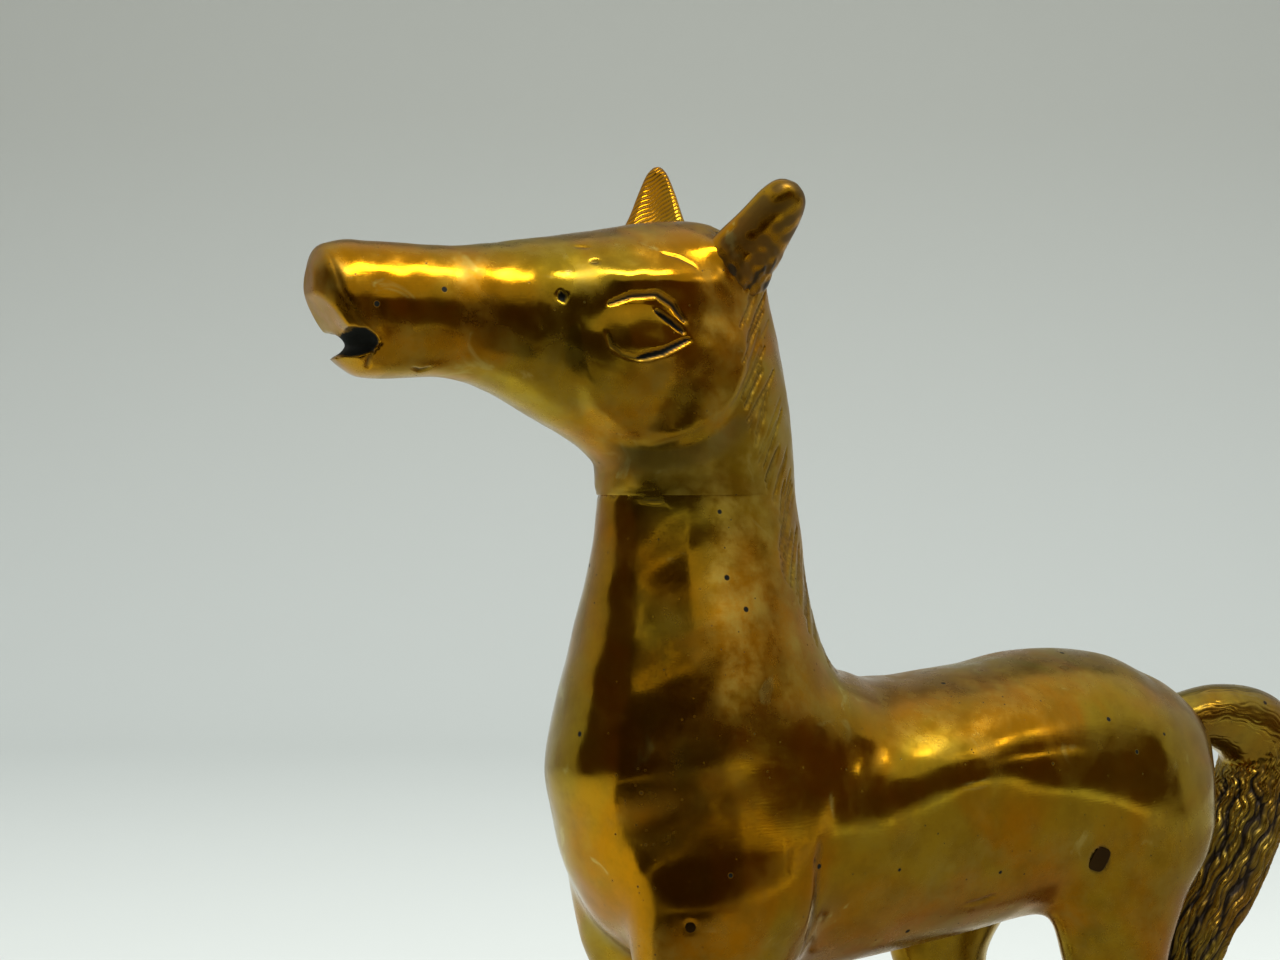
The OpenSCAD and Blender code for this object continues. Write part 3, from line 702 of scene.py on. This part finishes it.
def brass(name, gold, warm, pale, tarnish, bloom, grime, rough):
    """Old hand-polished brass: olive and orange patches, pale rubbed spots, dark pits and
    specks, fine scratches each way, and dark grime left in whatever is cut into it. The same
    dark also paints shade where the mesh asks for it: under the cheek and on the back of the near ear."""
    start, finish = material(name)
    patches = start.noise(22, 3, 0.55, warp=0.5).between(0.40, 0.62)
    mottle = start.noise(5, 5, 0.62, at=(0.4, 0.1, 0.2)).between(0.35, 0.7)
    colour = patches.tint(gold, warm)
    colour = (mottle * 0.45).tint(colour, tarnish)
    rubbed = start.noise(7, 4, 0.6, at=(0.9, 0.3, 0.7), warp=0.8).between(0.62, 0.72)
    colour = (rubbed * 0.55).tint(colour, pale)
    speck = start.cells(1.7, at=(0.03, 0.01, 0.02)).between(0.12, 0.05)
    speck = speck * start.noise(9, 2, 0.5, at=(0.2, 0.8, 0.5)).between(0.45, 0.6)
    pit = start.cells(6.5, at=(0.013, 0.005, 0.009)).between(0.075, 0.045)
    grain = start.noise(0.5, 3, 0.7).between(0.55, 0.8)
    # this mask holds grime in cuts and also painted shade under the cheek and on the back of the near ear
    groove_and_painted_shade = start.attribute("recess")
    dirt_and_painted_shade = groove_and_painted_shade.maths("MAXIMUM", speck * 0.85, pit)
    dirt_and_painted_shade = dirt_and_painted_shade.maths("MAXIMUM", dirt_and_painted_shade, (groove_and_painted_shade * 1.15).maths("MINIMUM", groove_and_painted_shade * 1.15, 1.0))
    colour = (grain * 0.4).tint(colour, tarnish)
    scratch = start.noise(0.28, 2, 0.5, stretch=(1, 1, 0.05))
    scratch = scratch + start.noise(0.22, 2, 0.5, stretch=(0.05, 1, 1), at=(0.5, 0.2, 0.1))
    film = start.noise(3.5, 5, 0.65, at=(0.1, 0.6, 0.3)).between(0.3, 0.75)
    cloud = start.noise(11, 5, 0.6, at=(0.7, 0.2, 0.4), warp=0.7).between(0.47, 0.62)
    satin = start.attribute("dull") * (0.6 + film * 0.5) + cloud * 0.35
    colour = (satin * film * 0.5).tint(colour, bloom)
    # grime in pits, specks and cuts, and the painted shade in the mask, take the dark grime colour
    colour = dirt_and_painted_shade.tint(colour, grime)
    height = scratch * 0.35 + grain * 0.3 - dirt_and_painted_shade * 0.5
    return finish(height=height, bump_mm=0.02, strength=0.5, Base_Color=colour,
                  Metallic=1.0 - dirt_and_painted_shade * 0.3,
                  Roughness=rough + film * 0.07 + satin * 0.26 + dirt_and_painted_shade * 0.35 + mottle * 0.05)


polished_brass = brass("polished_brass", (0.37, 0.235, 0.012, 1), (0.42, 0.175, 0.003, 1),
                       (0.52, 0.42, 0.11, 1), (0.20, 0.105, 0.005, 1), (0.40, 0.31, 0.06, 1),
                       (0.008, 0.009, 0.005, 1), 0.10)

middle = body_points[body_quads].mean(1)
body = shell("body_skin", body_points + shift, body_quads, middle[:, 2] > leg_seam_h - 1.5,
             above=leg_seam_h, below=head_seam_h, recess=recess, dull=dull)
paint(body, polished_brass)
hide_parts("body_casting")
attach(body, "root")


# ---- Legs -----------------------------------------------------------------------------
# Four brass castings brazed under the trunk, each with its hoof; their skin is the lower
# part of the one worked out above, parted at the brazed seam.

for name, rows in legs.items():
    ahead = "fore" in name
    mine = (middle[:, 2] < leg_seam_h + 1.5) & (middle[:, 1] * rows[4, 1] > 0) \
        & ((middle[:, 0] < 45) == ahead)
    leg = shell(name + "_skin", body_points + shift, body_quads, mine, below=leg_seam_h, recess=recess,
                dull=dull)
    paint(leg, polished_brass)
    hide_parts(name)
    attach(leg, "root")


# ---- Head casting ---------------------------------------------------------------------
# The head with its poll and throat, cast apart and brazed to the neck; mouth sawn open,
# eyes, lips and cheeks finished with gravers and punches.

head_volume = Volume((-42, -13, head_seam_h - 1.5), (31, 13, head_seam_h + poll_rise + 5), voxel * 0.62)
t = np.linspace(0, head_seam + 0.8, 260)
head_volume.add(bent_tube(run, t, np.linspace(0, 2 * np.pi, 181)[:-1]), 1.0)
x, y, z = head_volume.places()
aside = rise(np.abs(y), 2.5, 6.5)

# ears' feet, in the frame's own ear directions; the braze that holds them swells the poll
ears = {"left_ear": (-1, 16.5, 0.83, 30.0, 80.0), "right_ear": (1, 11.5, 0.90, 14.0, 57.0)}


def ear_frame(side, back, level, lean, turn):
    """Foot of an ear and its three directions: to the back of it, across it and up it."""
    a, b, c = math.radians(-side * 22), math.radians(lean), math.radians(side * turn)
    about_x = np.array([[1, 0, 0], [0, math.cos(a), -math.sin(a)], [0, math.sin(a), math.cos(a)]])
    about_y = np.array([[math.cos(b), 0, math.sin(b)], [0, 1, 0], [-math.sin(b), 0, math.cos(b)]])
    about_z = np.array([[math.cos(c), -math.sin(c), 0], [math.sin(c), math.cos(c), 0], [0, 0, 1]])
    return np.array([back, side * 7.0, head_seam_h + level * poll_rise]), about_y @ about_x @ about_z


for ear in ears.values():
    foot, ways = ear_frame(*ear)
    place_in = [sum(ways[k, i] * (p - foot[k]) for k, p in enumerate((x, y, z))) for i in range(3)]
    root = (np.sqrt((place_in[0] / 2.9) ** 2 + (place_in[1] / 5.3) ** 2 + ((place_in[2] + 0.5) / 2.6) ** 2) - 1) * 2.6
    head_volume.join(root.astype(np.float32), 2.6)

# round cheek, brow over the eye, sunk socket and the ball of the eye
cheek = np.hypot(x - 4, z - 126)
head_volume.distance -= 0.85 * aside * rise(cheek, 13.8, 11.6) * rise(z, 131, 123)
brow = ((x - 1) / 9) ** 2 + ((z - 134.2) / 2.0) ** 2
head_volume.distance -= 0.55 * aside * np.exp(-brow)
socket = ((x - 1) / 7.5) ** 2 + ((z - 128.2) / 4.2) ** 2
head_volume.distance += 0.5 * aside * np.exp(-socket)
ball = ((x - 0.6) / 5.6) ** 2 + ((z - 127.2) / 3.3) ** 2
head_volume.distance -= 0.6 * aside * np.exp(-ball ** 2)
# flat front of the muzzle, inside a raised rim that runs from the nose to the mouth's corner
rim_x = np.interp(z, [120, 123, 125.3, 127.6, 131.2, 135.7, 140],
                  [-31.8, -32.6, -33.6, -36.3, -38.2, -39.2, -39.6]).astype(np.float32)
head_volume.distance += 0.3 * rise(rim_x - x, -0.3, 1.6) * rise(z, 124, 127)
head_volume.distance -= 0.12 * aside * np.exp(-((x - rim_x - 0.7) / 0.9) ** 2) * rise(z, 124, 128)
# the upper lip slants back to the mouth
lip_x = np.interp(z, [125.9, 126.0, 126.7, 128, 129.5, 130.6, 132.5], [-45, -36.9, -37.1, -38.1, -39.2, -40.1, -42])
head_volume.distance = np.maximum(head_volume.distance, (0.8 * (lip_x - x)).astype(np.float32))
head_volume.soften(1)
whole = head_volume.distance.copy()
# open mouth: a slot that swells behind the lips and ends in a rounded corner each side
corner_x = -33.4 - 2.6 * rise(5.5 - np.abs(y), 0, 5.5)
ahead = corner_x - x
gape = 1.75 * np.sin(np.pi * np.clip(ahead / 6.4, 0, 0.82)) ** 0.55
slot = np.where(ahead > 0, np.abs(z - 124.95) - gape, np.hypot(ahead, z - 124.95)).astype(np.float32)
head_volume.distance = np.maximum(head_volume.distance, 0.1 - slot)
head_points, head_quads = head_volume.surface()
head_points = smoothed(head_points, head_quads, 3)
normals = outward(head_points, head_quads)
head_strokes = both_sides([
    # upper lid, with the short cut below its outer end
    [0.6, 0.42, (-4.2, -10.3, 130.6), (-1.1, -10.4, 131.7), (2.4, -10.5, 132.0), (4.7, -10.8, 130.8), (6.4, -11.1, 128.7)],
    [0.6, 0.75, (2.3, -11, 129.9), (4.3, -11.1, 128.6), (6.2, -11.2, 127.2)],
    # lower lid, in two cuts
    [0.42, 0.26, (-4.8, -10.6, 127.0), (-4.2, -10.7, 125.2), (-2.5, -10.8, 124.0), (0, -11.1, 123.4)],
    [0.7, 0.65, (-0.6, -11.1, 123.6), (3, -11.3, 124.5), (7.0, -11.2, 126.4)],
    # brow, pits and marks of the chisel
    [0.5, 0.36, (3.9, -8.4, 137.7), (6.2, -8.6, 137.2), (8.2, -9, 136.2), (9.8, -9.8, 134.2)],
    [0.9, 0.7, (-10.3, -9.1, 131.9), (-10.1, -9.1, 130.9)],
    [0.5, 0.35, (-5.9, -8.2, 136.0), (-4.6, -8.2, 136.2)],
    [0.35, 0.15, (-7.2, -6.6, 138.2), (-5.2, -6.6, 138.1)],
    # the muzzle's rim, the chin's fold and an oval punch mark behind it
    [0.45, 0.12, (-39.4, -3.4, 136.6), (-38.8, -5, 133.5), (-38.2, -5.8, 131.2), (-36.3, -6, 127.6), (-34.2, -5.5, 125.8)],
    [0.4, 0.3, (-34.0, -5, 124.4), (-34.3, -4, 122.8), (-34.2, -3.4, 121.8)],
    [0.3, 0.25, (-28.7, -3, 122.4), (-27.1, -3, 123.0), (-25.5, -3, 122.5)],
    [0.3, 0.25, (-28.7, -3, 122.4), (-27.1, -3, 121.8), (-25.5, -3, 122.5)],
    # edge of the cheek, and the hairline of the seam at the throat
    [0.7, 0.14, (-5.5, -8, 116.2), (-2.7, -8, 113.6), (2.9, -9, 112.2), (9.1, -10, 114.6), (14.6, -10, 118.6), (17.0, -10, 123)],
    [0.4, 0.35, (0, -1.4, 105.7), (2.5, -6.1, 105.6), (5.9, -8.8, 105.0)],
    [0.3, 0.12, (1.2, -4.5, 107.2), (2.6, -5.6, 106.9)]])
cut = np.maximum(carved(head_points, head_strokes), mane_cut(head_points))
dents = 0.06 * waves(head_points, 7.5, 11) + 0.03 * waves(head_points, 3.2, 12)
braze = np.zeros(len(head_points))
for ear in ears.values():
    foot, ways = ear_frame(*ear)
    away = np.linalg.norm(head_points - foot - ways @ np.array([-2.4, 0, 0.6]), axis=1)
    braze = np.maximum(braze, rise(away, 6.2, 3.4))
lumps = braze * (0.11 * waves(head_points, 1.9, 21) + 0.10 * waves(head_points, 1.0, 22))
head_points = head_points + normals * (dents + lumps - cut)[:, None]
i = np.clip(np.round(head_points / head_volume.voxel).astype(int) - head_volume.first, 0, head_volume.shape - 1)
depth = -whole[i[:, 0], i[:, 1], i[:, 2]]
in_mouth = rise(depth, 0.25, 0.9) * (head_points[:, 0] < -30)
x, z = head_points[:, 0], head_points[:, 2]
# painted shade: a dark crescent under the edge of the cheek
under = np.hypot(x - 4, z - 126)
under = 0.5 * rise(under, 13.6, 14.4) * rise(under, 18.5, 16) * rise(z, 118, 115.5) * rise(x, -3, 1)
recess = np.clip(np.maximum.reduce([(cut - 0.06) / 0.36, in_mouth, under,
                                    braze * rise(waves(head_points, 2.2, 23), 0.1, 0.9)]), 0, 1)
dull = np.maximum.reduce([0.6 * rise(normals[:, 2], 0.45, 0.85), 0.9 * rise(x, -36.5, -38.5),
                          0.6 * rise(normals[:, 2], 0.1, -0.3), 0.8 * rise(z, 112, 109),
                          0.8 * rise(x, 6, 11) * rise(z, 138, 134), 0.9 * np.exp(-((x + 21) / 2.6) ** 2),
                          0.9 * np.exp(-((x + 6.5) / 2.0) ** 2) * rise(z, 130, 133)])
dull = np.clip(dull * (1 + 0.35 * waves(head_points, 6, 42)), 0, 1)
middle = head_points[head_quads].mean(1)
head = shell("head_skin", head_points + shift, head_quads, middle[:, 2] > head_seam_h - 1,
             above=head_seam_h, recess=recess, dull=dull)
paint(head, polished_brass)
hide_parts("head_casting")
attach(head, "root")


# ---- Ears -----------------------------------------------------------------------------
# Two small solid castings brazed to the poll: a rounded back, a shallow inner face that is
# hatched with a graver, and a blunt tip. The near one lies further back.

ear_shapes = {
    "left_ear": [[-2.5, 5.6, 3.4, 2.2], [0, 5.5, 3.5, 2.0], [3.5, 4.9, 3.3, 1.6], [7, 4.2, 3.0, 1.3],
                 [10, 3.7, 2.6, 1.2], [12.2, 2.9, 2.1, 1.1], [13.3, 1.8, 1.4, 0.8], [13.8, 0.4, 0.4, 0.3]],
    "right_ear": [[-2.5, 5.7, 2.6, 2.0], [0, 5.5, 2.6, 1.8], [3.5, 4.8, 2.6, 1.4], [7, 3.6, 2.4, 1.1],
                  [10.5, 2.6, 1.9, 1.0], [13.3, 1.6, 1.3, 0.9], [14.6, 0.8, 0.8, 0.6], [15.0, 0.2, 0.3, 0.3]]}


def ear_surface(rows, u, a):
    """Ovals up the ear, deeper behind than in front. The front is squared off and hollowed in
    the middle, most at half height, and fine slanting cuts run over it."""
    r = along(np.array(rows, float), u)
    c = np.cos(a)
    wide = r[:, 1:2] * np.sin(a)
    front = (c < 0) * np.abs(c) ** 0.6
    hollow = 0.75 * np.clip(1 - (np.sin(a) / 0.72) ** 2, 0, 1) * np.sin(np.pi * np.clip(r[:, :1] / 13.5, 0, 1)) ** 0.6
    hatch = np.abs(np.sin((wide * 0.75 + r[:, :1]) * np.pi / 0.75 + 0.5 * np.sin(wide * 2.3)))
    hatch = 0.13 * (1 - hatch) ** 2 * rise(np.abs(c), 0.2, 0.5) * (c < 0) * rise(r[:, :1], 0.5, 2)
    thick = np.where(c > 0, r[:, 2:3] * c, -r[:, 3:4] * front + (c < 0) * hollow * r[:, 3:4] / 1.4)
    return np.stack([thick + hatch, wide, np.repeat(r[:, :1], len(a), 1)], -1), hatch


for name, rows in ear_shapes.items():
    foot, ways = ear_frame(*ears[name])
    surface, hatch = ear_surface(rows, np.linspace(0, 7, 150), np.linspace(0, 2 * np.pi, 151)[:-1])
    points, quads, triangles = capped(surface @ ways.T + foot)
    hatch = np.append(hatch.ravel(), [0, 0])
    grime = rise(points[:, 2] - foot[2] + 0.5 * waves(points, 2.5, 31), 3.5, -0.5)
    lumps = 0.12 * grime[:, None] * waves(points, 1.4, 32)[:, None] + 0.05 * waves(points, 4, 33)[:, None]
    away = points - foot
    away /= np.linalg.norm(away, axis=1, keepdims=True)
    faces = [list(face) for face in quads] + [list(face) for face in triangles]
    ear = bpy.data.meshes.new(name + "_shell")
    ear.from_pydata(((points + lumps * away + shift) * MM).tolist(), [], faces)
    ear.polygons.foreach_set("use_smooth", [True] * len(ear.polygons))
    layer = ear.attributes.new("recess", "FLOAT", "POINT")
    stain_and_painted_shade = 0.8 * grime * rise(waves(points, 1.8, 34), -0.1, 0.7)
    # painted reflection: the back of the near ear is darkened where it would reflect the dark room; the stain near its
    # foot is real grime
    behind = ((points - foot) @ ways)[:, 0] * (name == "left_ear")
    stain_and_painted_shade = np.maximum(stain_and_painted_shade, 0.6 * rise(behind, 0.1, 1.0) * rise(waves(points, 2.6, 35), -1.2, 0.4))
    layer.data.foreach_set("value", np.clip(np.maximum(hatch / 0.16, stain_and_painted_shade), 0, 1).astype(np.float32))
    work = bmesh.new()
    work.from_mesh(ear)
    bmesh.ops.recalc_face_normals(work, faces=work.faces[:])
    work.to_mesh(ear)
    work.free()
    piece = bpy.data.objects.new(name + "_shell", ear)
    bpy.context.scene.collection.objects.link(piece)
    paint(piece, polished_brass)
    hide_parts(name)
    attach(piece, "root")


# ---- Tail -----------------------------------------------------------------------------
# A solid casting pinned and brazed into the rump: a smooth dock that arches over, then
# heavy waved locks cut deep between, left darker than the rest.

tail_root_z, tail_tip_h, half_tail, half_tail_w = belly_h + 0.79 * (back_h - belly_h), 12.0, 7.0, 6.5
tail_back_x = rump_x + 23
drop = tail_root_z - tail_tip_h
tail_rows = np.array([
    [rump_x - 4.5, tail_root_z - 2, 0, 0.6 * half_tail, 0.6 * half_tail_w],
    [mix(rump_x, tail_back_x, 0.28), tail_root_z - 1, -10, 0.72 * half_tail, 0.72 * half_tail_w],
    [tail_back_x - 1.1 * half_tail, tail_root_z - 0.08 * drop, -52, half_tail, 0.92 * half_tail_w],
    [tail_back_x - 1.25 * half_tail, tail_root_z - 0.24 * drop, -100, half_tail, half_tail_w],
    [tail_back_x - 2.2 * half_tail, tail_root_z - 0.44 * drop, -118, half_tail, half_tail_w],
    [tail_back_x - 3.3 * half_tail, tail_root_z - 0.64 * drop, -112, 0.9 * half_tail, 0.88 * half_tail_w],
    [tail_back_x - 3.9 * half_tail, tail_root_z - 0.84 * drop, -94, 0.66 * half_tail, 0.62 * half_tail_w],
    [tail_back_x - 3.9 * half_tail, tail_tip_h, -80, 0.3 * half_tail, 0.3 * half_tail_w]])


def lock(phase):
    """Round back of a lock of hair from 0 in the cut beside it to 1, by the root of a sine."""
    return np.sqrt(np.abs(np.sin(phase / 2)))


def tail_surface(t, a):
    """Ovals square to the tail's line. Locks stand out by waved ridges whose phase is a whole
    number of turns round the tail plus sines of the turn and the length; the cuts between
    them deepen from the dock to the hanging part and fade at the tip."""
    r = along(tail_rows, t)
    t = t[:, None]
    broad = lock(12 * a + 1.5 * np.sin(2 * a + 1.1 * t) + 1.1 * np.sin(5 * a - 3.6 * t + 2)
                 + 1.2 * np.sin(2.3 * t) + 1.0 * np.sin(3 * a + 9 * t))
    fine = lock(34 * a + 2.2 * np.sin(3 * a + 1.7 * t) + 1.6 * np.sin(7 * a - 7.9 * t)
                + 3.1 * np.sin(1.9 * t + 1) + 1.5 * np.sin(4 * a + 17 * t))
    hairs = lock(76 * a + 3.0 * np.sin(4 * a - 5.1 * t) + 2.4 * np.sin(13 * t + 2) + 1.8 * np.sin(9 * a + 23 * t))
    worked = rise(t, 1.7, 3.1) * rise(t, 7.2, 6.4)
    cut = worked * (0.85 * (1 - broad) + 0.55 * (1 - fine) + 0.22 * (1 - hairs)) + 0.05 * (1 - fine) * rise(t, 0.2, 0.8)
    turn = np.radians(r[:, 2:3])
    thick = (r[:, 3:4] - cut) * np.sin(a)
    wide = (r[:, 4:5] - cut) * np.cos(a)
    return np.stack([r[:, 0:1] - thick * np.sin(turn), wide, r[:, 1:2] + thick * np.cos(turn)], -1), cut


surface, cut = tail_surface(np.linspace(0, 7, 310), np.linspace(0, 2 * np.pi, 301)[:-1])
points, quads, triangles = capped(surface + shift)
cut = np.append(cut.ravel(), [0, 0])
tail_mesh = bpy.data.meshes.new("tail_hair")
tail_mesh.from_pydata((points * MM).tolist(), [], [list(f) for f in quads] + [list(f) for f in triangles])
tail_mesh.polygons.foreach_set("use_smooth", [True] * len(tail_mesh.polygons))
layer = tail_mesh.attributes.new("recess", "FLOAT", "POINT")
layer.data.foreach_set("value", np.clip((cut - 0.10) / 0.55, 0, 1).astype(np.float32))
work = bmesh.new()
work.from_mesh(tail_mesh)
bmesh.ops.recalc_face_normals(work, faces=work.faces[:])
work.to_mesh(tail_mesh)
work.free()
tail = bpy.data.objects.new("tail_hair", tail_mesh)
bpy.context.scene.collection.objects.link(tail)
paint(tail, brass("tail_brass", (0.38, 0.26, 0.03, 1), (0.34, 0.17, 0.012, 1), (0.46, 0.36, 0.11, 1),
                  (0.12, 0.07, 0.015, 1), (0.30, 0.22, 0.06, 1), (0.020, 0.012, 0.005, 1), 0.16))
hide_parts("tail")
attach(tail, "root")


# ---- Core plugs -----------------------------------------------------------------------
# Small brass plugs that close the casting's core holes: an oblong one in each flank and a
# round one low on the near shoulder, hammered in, filed flush and gone dark.

def plug(name, node, centre, long, high, square, tilt):
    """A pillow filling a rounded oblong: a dome over the skin's own curve, which is a least
    squares fit of a second order surface, and straight sides down into the casting."""
    out_way = normals_of_body[np.argmin(np.linalg.norm(body_points - centre, axis=1))]
    across = np.cross([0, 0, 1.0], out_way)
    across /= np.linalg.norm(across)
    up_way = np.cross(out_way, across)
    across, up_way = (math.cos(tilt) * across + math.sin(tilt) * up_way,
                      math.cos(tilt) * up_way - math.sin(tilt) * across)
    local = (body_points - centre) @ np.stack([across, up_way, out_way], -1)
    away = np.hypot(local[:, 0], local[:, 1])
    near = local[(away < 4) & (away > 0.62 * max(long, high)) & (np.abs(local[:, 2]) < 3)]

    def terms(p, q):
        return np.stack([np.ones_like(p), p, q, p * p, p * q, q * q], -1)

    fit = np.linalg.lstsq(terms(near[:, 0], near[:, 1]), near[:, 2], rcond=None)[0]
    a = np.linspace(0, 2 * np.pi, 73)[:-1]
    edge_p = long / 2 * np.sign(np.cos(a)) * np.abs(np.cos(a)) ** square
    edge_q = high / 2 * np.sign(np.sin(a)) * np.abs(np.sin(a)) ** square
    share = np.concatenate([np.linspace(0.02, 0.94, 14), [0.98, 1.0, 1.0, 1.0]])[:, None]
    p, q = share * edge_p, share * edge_q
    drop = np.array([0.0] * 14 + [0.04, 0.14, 0.5, 1.6])[:, None]
    top = terms(p, q) @ fit - 0.04 - 0.05 * share ** 2 - drop
    surface = np.stack([p, q, top], -1) @ np.stack([across, up_way, out_way]) + centre + shift
    points, quads, triangles = capped(surface)
    mesh = bpy.data.meshes.new(name)
    mesh.from_pydata((points * MM).tolist(), [], [list(f) for f in quads] + [list(f) for f in triangles])
    mesh.polygons.foreach_set("use_smooth", [True] * len(mesh.polygons))
    work = bmesh.new()
    work.from_mesh(mesh)
    bmesh.ops.recalc_face_normals(work, faces=work.faces[:])
    work.to_mesh(mesh)
    work.free()
    piece = bpy.data.objects.new(name, mesh)
    bpy.context.scene.collection.objects.link(piece)
    paint(piece, plug_brass)
    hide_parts(node)
    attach(piece, "root")


plug_brass = brass("plug_brass", (0.055, 0.030, 0.008, 1), (0.04, 0.02, 0.005, 1), (0.10, 0.06, 0.02, 1),
                   (0.03, 0.018, 0.006, 1), (0.06, 0.04, 0.015, 1), (0.010, 0.008, 0.004, 1), 0.30)
plug("left_flank_inset", "left_flank_plug", flank_near, 2.9, 3.7, 0.55, -0.35)
plug("right_flank_inset", "right_flank_plug", flank_far, 2.9, 3.7, 0.55, 0.35)
plug("chest_inset", "chest_plug", chest_spot, 1.5, 1.5, 1.0, 0.0)
